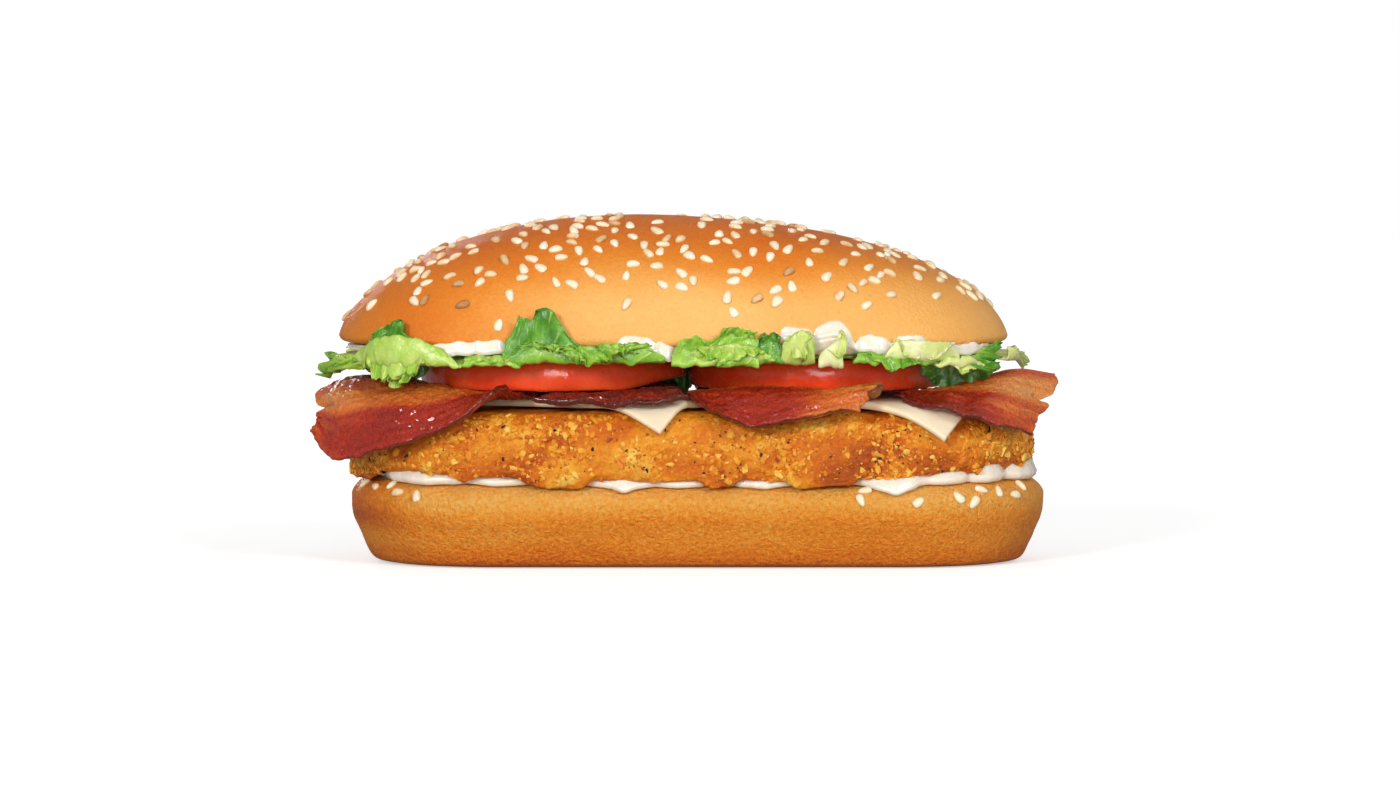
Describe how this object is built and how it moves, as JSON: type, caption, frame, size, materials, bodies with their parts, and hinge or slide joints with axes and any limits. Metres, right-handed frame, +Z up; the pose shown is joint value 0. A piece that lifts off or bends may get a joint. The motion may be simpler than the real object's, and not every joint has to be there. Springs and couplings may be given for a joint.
{
  "type": "long chicken burger",
  "caption": "Long sesame roll filled with breaded chicken, cheese, bacon, tomato, lettuce and mayonnaise, closed, resting on its flat base.",
  "frame": {"origin": "centre of the whole object's box in plan, at the flat base of the bun's heel", "axes": "+X along the roll, to the right seen from the front; the front faces -Y; +Z up"},
  "size_m": [0.1838, 0.0966, 0.0868],
  "materials": {
    "bun": "baked bread, golden, silky crust",
    "mayonnaise": "white, wet, creamy",
    "breading": "fried golden crumb, craggy",
    "cheese": "pale, smooth, slightly waxy",
    "bacon": "fried, streaked lean and fat, greasy",
    "tomato": "wet red skin and flesh",
    "lettuce": "fresh leaf, pale ribs, slight sheen"
  },
  "bodies": {
    "root": {"bun_bottom": "bun", "mayo_lower": "mayonnaise", "chicken": "breading", "cheese_left": "cheese", "cheese_right": "cheese", "bacon_left": "bacon", "bacon_middle": "bacon", "bacon_centre": "bacon", "bacon_right": "bacon", "bacon_back_left": "bacon", "bacon_back_right": "bacon", "tomato_left": "tomato", "tomato_right": "tomato", "lettuce": "lettuce", "mayo_upper": "mayonnaise", "bun_top": "bun"}
  },
  "joints": []
}
